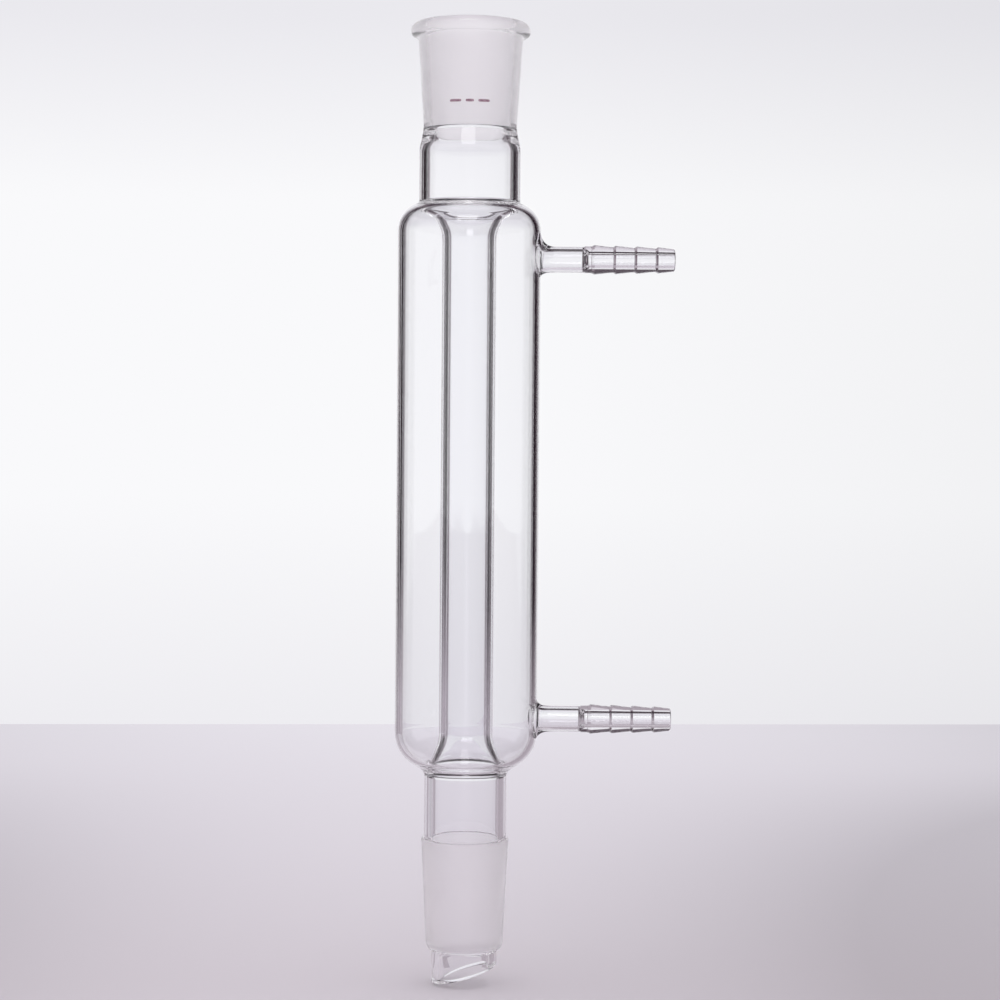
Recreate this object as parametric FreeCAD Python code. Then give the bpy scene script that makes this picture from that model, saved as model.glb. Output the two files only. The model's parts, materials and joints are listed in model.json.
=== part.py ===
import FreeCAD, Part
import math
import os
from FreeCAD import Vector

# Straight condenser, one fused piece of borosilicate glass. All sizes are in millimetres.
# Z runs up the tube axis towards the socket, and z = 0 is the wide end of the lower cone.
# Both hose arms point along +X.

# Ground joint, the same standard taper on the cone and in the socket.
JOINT_DIAMETER = 24.0
JOINT_TAPER = 0.1

# Lower cone and drip tip.
CONE_LENGTH = 30.5
CONE_EDGE_BEVEL = 0.35
CONE_FOOT_BEVEL = 1.2
CONE_BORE_TAPER = 0.06
TIP_OD = 17.9
TIP_WALL = 2.3
TIP_LENGTH = 9.9
TIP_SLANT_DEG = 16.2
TIP_FIRE_POLISH = 0.6
TIP_BORE_ENTRY = 3.0
TIP_BORE_LEAD = 1.0

# Lower neck, between the cone and the jacket.
LOWER_NECK_OD = 22.6
LOWER_NECK_WALL = 2.1
LOWER_NECK_LENGTH = 18.4
LOWER_SEAL_BEVEL = 0.9

# Cooling jacket.
JACKET_OD = 39.2
JACKET_WALL = 1.5
JACKET_LENGTH = 156.0
DOME_ROUND = 10.5
DOME_SLOPE_DEG = 32.0
SHOULDER_ROUND = 8.0
SHOULDER_SLOPE_DEG = 25.0

# Inner tube with its flared ends.
INNER_OD = 14.8
INNER_WALL = 1.7
LOWER_FLARE_HEIGHT = 8.0
LOWER_FLARE_SLOPE = 0.40
LOWER_BORE_SLOPE = 0.46
UPPER_FLARE_DEPTH = 8.4
UPPER_KNEE_DEPTH = 4.0
UPPER_KNEE_STEP = 1.8
UPPER_KNEE_ROUND = 4.0
UPPER_FLARE_SLOPE_DEG = 34.0
SEAL_CREVICE_BEVEL = 0.7

# Upper neck, between the jacket and the socket.
UPPER_NECK_OD = 27.7
UPPER_NECK_WALL = 2.0
UPPER_NECK_LENGTH = 20.2
UPPER_SEAL_BEVEL = 0.7
NECK_SHOULDER_HEIGHT = 5.4
NECK_THROAT_RADIUS = 9.9
THROAT_EDGE_DROP = 0.2
THROAT_LAND = 1.0

# Socket with its rolled rim.
SOCKET_GROUND_LENGTH = 28.3
SOCKET_FOOT_WALL = 2.15
SOCKET_MOUTH_WALL = 2.55
RIM_OD = 32.7
RIM_HEIGHT = 3.8
RIM_ROUND = 2.1
RIM_UNDER_ROUND = 1.2
RIM_LIP_HEIGHT = 0.5

# Hose arms, two alike.
ARM_OD = 7.0
ARM_WALL = 1.1
UPPER_ARM_SETBACK = 15.2
LOWER_ARM_SETBACK = 14.7
ARM_REACH = 36.8
ARM_WELD_BEVEL = 1.8
ARM_ROOT_DEPTH = 4.0
ARM_SEAL_BULGE = 0.2
ARM_SEAL_LENGTH = 2.2
BARB_BORE = 3.4
BARB_BORE_ENTRY = 3.0
BARB_BORE_LEAD = 1.2
BARB_COUNT = 4
BARB_PITCH = 5.8
BARB_FIRST_OD = 8.1
BARB_STEP_DOWN = 0.3
BARB_DEPTH = 0.55
BARB_RISE = 0.7
BARB_END_LENGTH = 4.7
ARM_TIP_BEVEL = 0.8
ARM_MOUTH_BEVEL = 0.5

# Extra length of a cutting solid beyond the surface that it opens, and the block of the slant cut.
CUT_PAST = 3.0
SLANT_BLOCK = 80.0

# Radii that follow from the sizes above.
JOINT_RADIUS = JOINT_DIAMETER / 2
CONE_SMALL_RADIUS = JOINT_RADIUS - CONE_LENGTH * JOINT_TAPER / 2
SOCKET_END_RADIUS = JOINT_RADIUS - SOCKET_GROUND_LENGTH * JOINT_TAPER / 2
SOCKET_FOOT_RADIUS = SOCKET_END_RADIUS + SOCKET_FOOT_WALL
SOCKET_MOUTH_RADIUS = JOINT_RADIUS + SOCKET_MOUTH_WALL
TIP_RADIUS = TIP_OD / 2
TIP_BORE_RADIUS = TIP_RADIUS - TIP_WALL
LOWER_NECK_RADIUS = LOWER_NECK_OD / 2
LOWER_NECK_BORE = LOWER_NECK_RADIUS - LOWER_NECK_WALL
JACKET_RADIUS = JACKET_OD / 2
JACKET_BORE = JACKET_RADIUS - JACKET_WALL
INNER_RADIUS = INNER_OD / 2
INNER_BORE = INNER_RADIUS - INNER_WALL
UPPER_KNEE_RADIUS = INNER_RADIUS + UPPER_KNEE_STEP
UPPER_NECK_RADIUS = UPPER_NECK_OD / 2
UPPER_NECK_BORE = UPPER_NECK_RADIUS - UPPER_NECK_WALL
RIM_RADIUS = RIM_OD / 2
ARM_RADIUS = ARM_OD / 2
ARM_BORE_RADIUS = ARM_RADIUS - ARM_WALL
BARB_BORE_RADIUS = BARB_BORE / 2

# Heights that follow from the lengths above.
CONE_BOTTOM_Z = -CONE_LENGTH
TIP_END_Z = CONE_BOTTOM_Z - TIP_LENGTH
DOME_FOOT_Z = LOWER_NECK_LENGTH
JACKET_TOP_Z = DOME_FOOT_Z + JACKET_LENGTH
SOCKET_BOTTOM_Z = JACKET_TOP_Z + UPPER_NECK_LENGTH
MOUTH_Z = SOCKET_BOTTOM_Z + SOCKET_GROUND_LENGTH
RIM_TOP_Z = MOUTH_Z + RIM_LIP_HEIGHT
LOWER_ARM_Z = DOME_FOOT_Z + LOWER_ARM_SETBACK
UPPER_ARM_Z = JACKET_TOP_Z - UPPER_ARM_SETBACK
LOWER_FLARE_Z = DOME_FOOT_Z + LOWER_FLARE_HEIGHT
UPPER_FLARE_Z = JACKET_TOP_Z - UPPER_FLARE_DEPTH
UPPER_KNEE_Z = JACKET_TOP_Z - UPPER_KNEE_DEPTH

Z_AXIS = Vector(0, 0, 1)


def unit_from(point, target):
    """Unit vector from one point of the profile to another."""
    step = target.sub(point)
    step.normalize()
    return step


def rounded_face(corners):
    """Face bounded by straight lines, each corner rounded by its own radius.

    A corner is (across, along, radius), and a radius of zero leaves it sharp. A rounding ends at the
    latest where the shorter of its two lines does.
    """
    points = [Vector(across, 0, along) for across, along, radius in corners]
    edges = []
    starts = []
    ends = []
    arcs = []
    count = len(points)
    for index, (across, along, radius) in enumerate(corners):
        point = points[index]
        back = unit_from(point, points[index - 1])
        ahead = unit_from(point, points[(index + 1) % count])
        half_angle = back.getAngle(ahead) / 2
        nearly_straight = half_angle > math.radians(89.5)
        if radius == 0 or nearly_straight:
            starts.append(point)
            ends.append(point)
            arcs.append(None)
            continue
        room = min(point.distanceToPoint(points[index - 1]), point.distanceToPoint(points[(index + 1) % count]))
        reach = min(radius / math.tan(half_angle), room)
        radius = reach * math.tan(half_angle)
        middle_way = back.add(ahead)
        middle_way.normalize()
        centre = point.add(middle_way * (radius / math.sin(half_angle)))
        starts.append(point.add(back * reach))
        ends.append(point.add(ahead * reach))
        arcs.append(centre.sub(middle_way * radius))
    for index in range(count):
        if arcs[index] is not None:
            edges.append(Part.Arc(starts[index], arcs[index], ends[index]).toShape())
        following = (index + 1) % count
        if ends[index].distanceToPoint(starts[following]) > 1e-6:
            edges.append(Part.makeLine(ends[index], starts[following]))
    return Part.Face(Part.Wire(edges))


def turned(corners):
    """Solid turned around the tube axis from a rounded profile."""
    return rounded_face(corners).revolve(Vector(0, 0, 0), Z_AXIS, 360)


def cone_radius(height):
    """Radius of the ground cone at a height, on its standard taper."""
    return JOINT_RADIUS + height * JOINT_TAPER / 2


def dome_line(offset):
    """Height at the tube axis of the straight underside of the dome, moved inwards by offset."""
    slope = math.tan(math.radians(DOME_SLOPE_DEG))
    foot_height = DOME_FOOT_Z - LOWER_NECK_RADIUS * slope
    return foot_height + offset / math.cos(math.radians(DOME_SLOPE_DEG))


def dome_height(across, offset=0.0):
    """Height of the dome's underside at a distance from the axis."""
    return dome_line(offset) + across * math.tan(math.radians(DOME_SLOPE_DEG))


def shoulder_line(offset):
    """Height at the tube axis of the jacket's sloping shoulder, moved inwards by offset."""
    slope = math.tan(math.radians(SHOULDER_SLOPE_DEG))
    return JACKET_TOP_Z + UPPER_NECK_RADIUS * slope - offset / math.cos(math.radians(SHOULDER_SLOPE_DEG))


def shoulder_height(across, offset=0.0):
    """Height of the jacket's shoulder at a distance from the axis."""
    return shoulder_line(offset) - across * math.tan(math.radians(SHOULDER_SLOPE_DEG))


def beside(before, corner, after, gap):
    """Corner of the line that runs beside a profile at a distance, on the left of its direction."""
    incoming = unit_from(Vector(before[0], 0, before[1]), Vector(corner[0], 0, corner[1]))
    outgoing = unit_from(Vector(corner[0], 0, corner[1]), Vector(after[0], 0, after[1]))
    middle = incoming.add(outgoing)
    middle.normalize()
    reach = gap / middle.dot(incoming)
    return (corner[0] - middle.z * reach, corner[1] + middle.x * reach)


def upper_flare():
    """Corners of the inner tube's outside where it widens into the upper ring seal."""
    rise = math.tan(math.radians(UPPER_FLARE_SLOPE_DEG))
    fall = math.tan(math.radians(SHOULDER_SLOPE_DEG))
    gap = shoulder_height(UPPER_KNEE_RADIUS, JACKET_WALL) - UPPER_KNEE_Z
    seal_radius = UPPER_KNEE_RADIUS + gap / (rise + fall)
    start = (INNER_RADIUS, UPPER_FLARE_Z)
    knee = (UPPER_KNEE_RADIUS, UPPER_KNEE_Z)
    seal = (seal_radius, shoulder_height(seal_radius, JACKET_WALL))
    return start, knee, seal


def flats(before, corner, after, radius, count):
    """Flats in place of the arc of the given radius that would round a corner of the profile.

    Each point is (across, along). The flats touch the arc in the middle of each.
    """
    point = Vector(corner[0], 0, corner[1])
    back = unit_from(point, Vector(before[0], 0, before[1]))
    ahead = unit_from(point, Vector(after[0], 0, after[1]))
    half_angle = back.getAngle(ahead) / 2
    turn = math.pi - 2 * half_angle
    middle_way = back.add(ahead)
    middle_way.normalize()
    centre = point.add(middle_way * (radius / math.sin(half_angle)))
    side = 1 if back.cross(ahead).y > 0 else -1
    spoke = point.add(back * (radius / math.tan(half_angle))).sub(centre)
    stretch = 1 / math.cos(turn / (2 * count))
    found = []
    for step in range(count):
        angle = side * turn * (step + 0.5) / count
        across = spoke.x * math.cos(angle) - spoke.z * math.sin(angle)
        along = spoke.x * math.sin(angle) + spoke.z * math.cos(angle)
        found.append((centre.x + across * stretch, centre.z + along * stretch, 0))
    return found


def rim_corners():
    """Rolled rim of the socket, from its underside to its top."""
    rim_bottom_z = RIM_TOP_Z - RIM_HEIGHT
    share = (rim_bottom_z - SOCKET_BOTTOM_Z) / SOCKET_GROUND_LENGTH
    socket_radius = SOCKET_FOOT_RADIUS + share * (SOCKET_MOUTH_RADIUS - SOCKET_FOOT_RADIUS)
    below = (socket_radius, rim_bottom_z)
    low = (RIM_RADIUS, rim_bottom_z)
    high = (RIM_RADIUS, RIM_TOP_Z)
    mouth = (JOINT_RADIUS, RIM_TOP_Z)
    return [
        (socket_radius, rim_bottom_z, 0),
        *flats(below, low, high, RIM_UNDER_ROUND, 2),
        *flats(low, high, mouth, RIM_ROUND, 3),
    ]


def outer_skin():
    """Everything inside the outer surface of the tube, without the arms."""
    neck_shoulder_z = SOCKET_BOTTOM_Z - NECK_SHOULDER_HEIGHT
    corners = [
        (0, TIP_END_Z - CUT_PAST, 0),
        (TIP_RADIUS, TIP_END_Z - CUT_PAST, 0),
        (TIP_RADIUS, CONE_BOTTOM_Z, 0),
        (CONE_SMALL_RADIUS - CONE_FOOT_BEVEL, CONE_BOTTOM_Z, 0),
        (cone_radius(CONE_BOTTOM_Z + CONE_FOOT_BEVEL), CONE_BOTTOM_Z + CONE_FOOT_BEVEL, 0),
        (cone_radius(-CONE_EDGE_BEVEL), -CONE_EDGE_BEVEL, 0),
        (JOINT_RADIUS - CONE_EDGE_BEVEL, 0, 0),
        (LOWER_NECK_RADIUS, 0, 0),
        (LOWER_NECK_RADIUS, DOME_FOOT_Z - LOWER_SEAL_BEVEL, 0),
        (LOWER_NECK_RADIUS + LOWER_SEAL_BEVEL, dome_height(LOWER_NECK_RADIUS + LOWER_SEAL_BEVEL), 0),
        (JACKET_RADIUS, dome_height(JACKET_RADIUS), DOME_ROUND),
        (JACKET_RADIUS, shoulder_height(JACKET_RADIUS), SHOULDER_ROUND),
        (UPPER_NECK_RADIUS + UPPER_SEAL_BEVEL, shoulder_height(UPPER_NECK_RADIUS + UPPER_SEAL_BEVEL), 0),
        (UPPER_NECK_RADIUS, JACKET_TOP_Z + UPPER_SEAL_BEVEL, 0),
        (UPPER_NECK_RADIUS, neck_shoulder_z, 0),
        (SOCKET_FOOT_RADIUS, SOCKET_BOTTOM_Z, 0),
    ]
    corners += rim_corners()
    corners += [(0, RIM_TOP_Z, 0)]
    return turned(corners)


def vapour_bore():
    """Air path through the middle: socket, upper neck, inner tube, lower neck, cone and tip."""
    cone_bore_foot = LOWER_NECK_BORE - (CONE_LENGTH - TIP_BORE_ENTRY) * CONE_BORE_TAPER / 2
    throat_top_z = SOCKET_BOTTOM_Z - THROAT_EDGE_DROP
    lower_flare_foot_z = LOWER_FLARE_Z - (LOWER_NECK_BORE - INNER_BORE) / LOWER_BORE_SLOPE
    start, knee, seal = upper_flare()
    below = (INNER_RADIUS, LOWER_FLARE_Z)
    bore_start = beside(below, start, knee, INNER_WALL)
    bore_knee = beside(start, knee, seal, INNER_WALL)
    rise = math.tan(math.radians(UPPER_FLARE_SLOPE_DEG))
    bore_seal = (UPPER_NECK_BORE, bore_knee[1] + (UPPER_NECK_BORE - bore_knee[0]) * rise)
    lip_radius = JOINT_RADIUS + RIM_LIP_HEIGHT
    corners = [
        (0, TIP_END_Z - 2 * CUT_PAST, 0),
        (TIP_BORE_RADIUS, TIP_END_Z - 2 * CUT_PAST, 0),
        (TIP_BORE_RADIUS, CONE_BOTTOM_Z - TIP_BORE_LEAD, 0),
        (cone_bore_foot, CONE_BOTTOM_Z + TIP_BORE_ENTRY, 0),
        (LOWER_NECK_BORE, 0, 0),
        (LOWER_NECK_BORE, lower_flare_foot_z, 0),
        (INNER_BORE, LOWER_FLARE_Z, 0),
        (INNER_BORE, bore_start[1], 0),
        *flats(bore_start, bore_knee, bore_seal, UPPER_KNEE_ROUND, 2),
        (UPPER_NECK_BORE, bore_seal[1], 0),
        (UPPER_NECK_BORE, SOCKET_BOTTOM_Z - NECK_SHOULDER_HEIGHT, 0),
        (NECK_THROAT_RADIUS, throat_top_z - THROAT_LAND, 0),
        (NECK_THROAT_RADIUS, throat_top_z, 0),
        (SOCKET_END_RADIUS, SOCKET_BOTTOM_Z, 0),
        (JOINT_RADIUS, MOUTH_Z, 0),
        (lip_radius, RIM_TOP_Z, 0),
        (lip_radius, RIM_TOP_Z + CUT_PAST, 0),
        (0, RIM_TOP_Z + CUT_PAST, 0),
    ]
    return turned(corners)


def coolant_space():
    """Ring-shaped water space between the jacket and the inner tube."""
    floor_slope = math.tan(math.radians(DOME_SLOPE_DEG))
    ceiling_slope = math.tan(math.radians(SHOULDER_SLOPE_DEG))
    flare_slope = math.tan(math.radians(UPPER_FLARE_SLOPE_DEG))
    flare_line = LOWER_FLARE_Z + INNER_RADIUS / LOWER_FLARE_SLOPE
    crevice_radius = (flare_line - dome_line(JACKET_WALL)) / (floor_slope + 1 / LOWER_FLARE_SLOPE)
    crevice = (crevice_radius, dome_height(crevice_radius, JACKET_WALL))
    start, knee, seal = upper_flare()
    bevel = SEAL_CREVICE_BEVEL
    dome_corner = (JACKET_BORE, dome_height(JACKET_BORE, JACKET_WALL))
    shoulder_corner = (JACKET_BORE, shoulder_height(JACKET_BORE, JACKET_WALL))
    corners = [
        (crevice[0] - bevel * LOWER_FLARE_SLOPE, crevice[1] + bevel, 0),
        (crevice[0] + bevel, crevice[1] + bevel * floor_slope, 0),
        *flats(crevice, dome_corner, shoulder_corner, DOME_ROUND - JACKET_WALL, 3),
        *flats(dome_corner, shoulder_corner, seal, SHOULDER_ROUND - JACKET_WALL, 3),
        (seal[0] + bevel, seal[1] - bevel * ceiling_slope, 0),
        (seal[0] - bevel, seal[1] - bevel * flare_slope, 0),
        *flats(seal, knee, start, UPPER_KNEE_ROUND, 2),
        (*start, 0),
        (INNER_RADIUS, LOWER_FLARE_Z, 0),
    ]
    return turned(corners)


def along_arm(corners, height):
    """Solid turned around a hose arm's axis. Corners are given as (across, along, radius)."""
    solid = rounded_face(corners).revolve(Vector(0, 0, 0), Z_AXIS, 360)
    solid.rotate(Vector(0, 0, 0), Vector(0, 1, 0), 90)
    solid.translate(Vector(0, 0, height))
    return solid


def arm_skin(height):
    """Outside of one hose arm: plain tube, fused ring and barbs."""
    tip = JACKET_RADIUS + ARM_REACH
    first_crest = tip - BARB_END_LENGTH - (BARB_COUNT - 1) * BARB_PITCH
    crest_radius = BARB_FIRST_OD / 2
    root = JACKET_BORE - ARM_ROOT_DEPTH
    seal = first_crest - BARB_RISE - ARM_SEAL_LENGTH
    corners = [
        (0, root, 0),
        (ARM_RADIUS, root, 0),
        (ARM_RADIUS, seal, 0),
        (ARM_RADIUS + ARM_SEAL_BULGE, seal + ARM_SEAL_BULGE, 0),
        (ARM_RADIUS + ARM_SEAL_BULGE, first_crest - BARB_RISE, 0),
    ]
    for index in range(BARB_COUNT):
        crest = first_crest + index * BARB_PITCH
        if index > 0:
            corners.append((crest_radius + BARB_STEP_DOWN / 2 - BARB_DEPTH, crest - BARB_RISE, 0))
        corners.append((crest_radius, crest, 0))
        crest_radius = crest_radius - BARB_STEP_DOWN / 2
    corners.append((crest_radius - BARB_DEPTH, tip - ARM_TIP_BEVEL, 0))
    corners.append((crest_radius - BARB_DEPTH - ARM_TIP_BEVEL, tip, 0))
    corners.append((0, tip, 0))
    return along_arm(corners, height)


def arm_bore(height):
    """Water path through one hose arm, open into the coolant space."""
    tip = JACKET_RADIUS + ARM_REACH
    first_crest = tip - BARB_END_LENGTH - (BARB_COUNT - 1) * BARB_PITCH
    root = JACKET_BORE - ARM_ROOT_DEPTH
    narrowing = first_crest - BARB_BORE_ENTRY
    mouth_radius = BARB_BORE_RADIUS + ARM_MOUTH_BEVEL
    corners = [
        (0, root, 0),
        (ARM_BORE_RADIUS, root, 0),
        (ARM_BORE_RADIUS, narrowing, 0),
        (BARB_BORE_RADIUS, narrowing + BARB_BORE_LEAD, 0),
        (BARB_BORE_RADIUS, tip - ARM_MOUTH_BEVEL, 0),
        (mouth_radius, tip, 0),
        (mouth_radius, tip + CUT_PAST, 0),
        (0, tip + CUT_PAST, 0),
    ]
    return along_arm(corners, height)


def weld_edges(solid, height):
    """Edges where a hose arm's tube meets the outside of the jacket."""
    match = 0.02
    nearest = JACKET_RADIUS * 0.8
    found = []
    for edge in solid.Edges:
        span = edge.LastParameter - edge.FirstParameter
        points = [edge.valueAt(edge.FirstParameter + share * span) for share in (0.0, 0.25, 0.5, 0.75, 1.0)]
        off_tube = [abs(math.hypot(point.y, point.z - height) - ARM_RADIUS) for point in points]
        beside_jacket = [nearest < point.x < JACKET_RADIUS + match for point in points]
        if max(off_tube) < match and all(beside_jacket):
            found.append(edge)
    return found


def welded(solid):
    """Bevel both hose arms into the jacket, as the flame leaves them."""
    for height in (LOWER_ARM_Z, UPPER_ARM_Z):
        solid = solid.makeChamfer(ARM_WELD_BEVEL, weld_edges(solid, height))
    return solid


def slant_cut(glass):
    """Cut the drip tip at a slant and fire-polish its edge."""
    half = SLANT_BLOCK / 2
    block = Part.makeBox(SLANT_BLOCK, SLANT_BLOCK, half, Vector(-half, -half, -half))
    block.rotate(Vector(0, 0, 0), Vector(0, 1, 0), -TIP_SLANT_DEG)
    middle_z = TIP_END_Z + TIP_RADIUS * math.tan(math.radians(TIP_SLANT_DEG))
    block.translate(Vector(0, 0, middle_z))
    cut = glass.cut(block)
    lean = math.sin(math.radians(TIP_SLANT_DEG))
    rim = []
    for face in cut.Faces:
        flat = face.Surface.TypeId == "Part::GeomPlane"
        if flat and abs(abs(face.normalAt(0, 0).x) - lean) < 1e-3:
            rim = face.Edges
    return cut.makeChamfer(TIP_FIRE_POLISH, rim)


def condenser():
    """The whole fused glass."""
    skin = outer_skin()
    hollow = coolant_space()
    for height in (LOWER_ARM_Z, UPPER_ARM_Z):
        skin = skin.fuse(arm_skin(height))
        hollow = hollow.fuse(arm_bore(height))
    skin = welded(skin)
    glass = skin.cut(hollow).cut(vapour_bore())
    glass = slant_cut(glass)
    return glass.Solids[0]


def main():
    os.makedirs("parts", exist_ok=True)
    glass = condenser()
    glass.exportStep("parts/condenser_glass.step")
    box = glass.BoundBox
    print("valid", glass.isValid(), "volume", round(glass.Volume, 1), "faces", len(glass.Faces))
    print("x", round(box.XMin, 2), round(box.XMax, 2), "z", round(box.ZMin, 2), round(box.ZMax, 2))


main()
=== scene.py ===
"""Straight condenser: the looks, the light and the camera around its packed glass body.

The glass is one closed surface worked out with numpy. Two profiles are turned around the tube axis, the
skin with the vapour path and the wall of the water space, and two hose arms join them. Sizes are written
in millimetres and angles in degrees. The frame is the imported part's: z = 0 at the cone's wide end, +Z up
the tube, the hose arms along +X, and the camera on the -Y side.
"""

import json
import logging
import math
from dataclasses import dataclass, field
from enum import Enum

import bpy
import numpy as np
from mathutils import Matrix, Vector

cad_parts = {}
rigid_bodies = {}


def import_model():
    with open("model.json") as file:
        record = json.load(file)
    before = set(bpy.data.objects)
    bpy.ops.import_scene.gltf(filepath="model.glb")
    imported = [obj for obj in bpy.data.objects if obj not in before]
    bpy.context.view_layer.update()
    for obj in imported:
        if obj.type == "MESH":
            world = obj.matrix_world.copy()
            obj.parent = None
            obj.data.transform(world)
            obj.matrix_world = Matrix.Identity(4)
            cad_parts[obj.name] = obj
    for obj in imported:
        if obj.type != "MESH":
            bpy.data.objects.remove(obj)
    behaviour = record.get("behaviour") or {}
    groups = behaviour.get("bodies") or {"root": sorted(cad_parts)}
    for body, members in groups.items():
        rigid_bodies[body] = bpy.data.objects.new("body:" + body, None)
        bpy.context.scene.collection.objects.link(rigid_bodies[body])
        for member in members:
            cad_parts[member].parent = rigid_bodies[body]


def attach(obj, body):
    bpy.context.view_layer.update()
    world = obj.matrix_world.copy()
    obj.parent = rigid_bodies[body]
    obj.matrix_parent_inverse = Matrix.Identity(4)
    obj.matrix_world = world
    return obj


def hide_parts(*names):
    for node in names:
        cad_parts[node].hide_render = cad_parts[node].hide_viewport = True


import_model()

MM = 0.001
GLASS_NODE = "condenser_glass"
BODY = "root"
log = logging.getLogger("condenser")


class Finish(Enum):
    """How a stretch of the glass surface was left."""

    CLEAR = 0
    GROUND = 1
    TOOLED = 2


@dataclass(frozen=True)
class Corner:
    """One corner of a turned profile.

    Args:
        across: distance from the axis in mm.
        along: place along the axis in mm.
        rounding: radius in mm that the flame or the tool left on the corner.
        finish: how the stretch that follows the corner was left.
    """

    across: float
    along: float
    rounding: float
    finish: Finish = Finish.CLEAR


@dataclass
class Profile:
    """Sampled outline of a turned surface, with the air on the right-hand side of its direction.

    Args:
        across: distances from the axis, one per row.
        along: places along the axis, one per row.
        lean: outward unit normals (across, along), one pair per row.
        finish: finish of the stretch that follows each row.
    """

    across: np.ndarray
    along: np.ndarray
    lean: np.ndarray
    finish: np.ndarray

    def with_rows(self, fine: "Profile", heights: np.ndarray, beyond: float) -> "Profile":
        """Puts rows exactly at the given heights of the outer wall, in place of those between them.

        Args:
            fine: the same outline sampled finely, which gives the wall's distance at each height.
            heights: heights in the profile's own direction.
            beyond: the wall is what lies farther from the axis than this.

        Returns:
            The profile with the new rows.
        """
        way = 1.0 if heights[-1] > heights[0] else -1.0
        wall = self.across > beyond
        low = np.flatnonzero(wall & (way * self.along < way * heights[0] - 0.05))[-1]
        high = np.flatnonzero(wall & (way * self.along > way * heights[-1] + 0.05))[0]
        across, lean = fine.at_heights(heights, beyond)
        new_finish = np.full(len(heights), self.finish[low])
        return Profile(
            np.concatenate([self.across[: low + 1], across, self.across[high:]]),
            np.concatenate([self.along[: low + 1], heights, self.along[high:]]),
            np.concatenate([self.lean[: low + 1], lean, self.lean[high:]]),
            np.concatenate([self.finish[: low + 1], new_finish, self.finish[high:]]),
        )

    def at_heights(self, heights: np.ndarray, beyond: float) -> tuple[np.ndarray, np.ndarray]:
        """Distance from the axis and normal of the outer wall at the given heights, by interpolation."""
        wall = np.flatnonzero(self.across > beyond)
        wall = wall[np.argsort(self.along[wall])]
        across = np.interp(heights, self.along[wall], self.across[wall])
        lean = np.stack([np.interp(heights, self.along[wall], self.lean[wall, k]) for k in (0, 1)], axis=-1)
        return across, lean / np.linalg.norm(lean, axis=-1, keepdims=True)


def sampled(corners: list[Corner], step: float, closed: bool = True) -> Profile:
    """Samples straight lines between corners, each corner rounded by an arc tangent to both lines.

    A corner with the half angle h between its lines and the rounding r has its arc's centre r / sin(h)
    from the corner, and the arc starts r / tan(h) before it. The outward normal is the direction of
    travel (a, b) turned to the right, (b, -a).

    Args:
        corners: the corners in order.
        step: largest turn between two samples of an arc, in degrees.
        closed: whether the last corner joins the first.

    Returns:
        The sampled profile.
    """
    points = np.array([(c.across, c.along) for c in corners])
    rows: list[np.ndarray] = []
    leans: list[np.ndarray] = []
    finishes: list[int] = []
    count = len(corners)
    for index, corner in enumerate(corners):
        point = points[index]
        back = points[index - 1] - point
        ahead = points[(index + 1) % count] - point
        if not closed and index in (0, count - 1):
            travel = ahead if index == 0 else -back
            travel = travel / np.linalg.norm(travel)
            rows.append(point[None])
            leans.append(np.array([[travel[1], -travel[0]]]))
            finishes.append(corner.finish.value)
            continue
        back = back / np.linalg.norm(back)
        ahead = ahead / np.linalg.norm(ahead)
        half = math.acos(np.clip(back @ ahead, -1.0, 1.0)) / 2
        turn = math.pi - 2 * half
        middle = (back + ahead) / np.linalg.norm(back + ahead)
        centre = point + middle * (corner.rounding / math.sin(half))
        count_arc = max(2, math.ceil(math.degrees(turn) / step))
        left = (-back[0] * ahead[1] + back[1] * ahead[0]) > 0
        share = np.linspace(-0.5, 0.5, count_arc + 1)
        swing = share * turn * (1.0 if left else -1.0)
        spoke = -middle
        turned_spoke = np.stack(
            [
                spoke[0] * np.cos(swing) - spoke[1] * np.sin(swing),
                spoke[0] * np.sin(swing) + spoke[1] * np.cos(swing),
            ],
            axis=-1,
        )
        rows.append(centre + corner.rounding * turned_spoke)
        leans.append(turned_spoke if left else -turned_spoke)
        finishes.extend([corners[index - 1].finish.value] * count_arc + [corner.finish.value])
    joined = np.concatenate(rows)
    return Profile(joined[:, 0], joined[:, 1], np.concatenate(leans), np.array(finishes))


@dataclass
class TurnedWall:
    """A turned surface that the hose arms join.

    Args:
        grid: its vertex numbers, one row per profile row and one column per angle.
        profile: its outline.
        fine: the same outline sampled finely.
    """

    grid: np.ndarray
    profile: Profile
    fine: Profile


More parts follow.
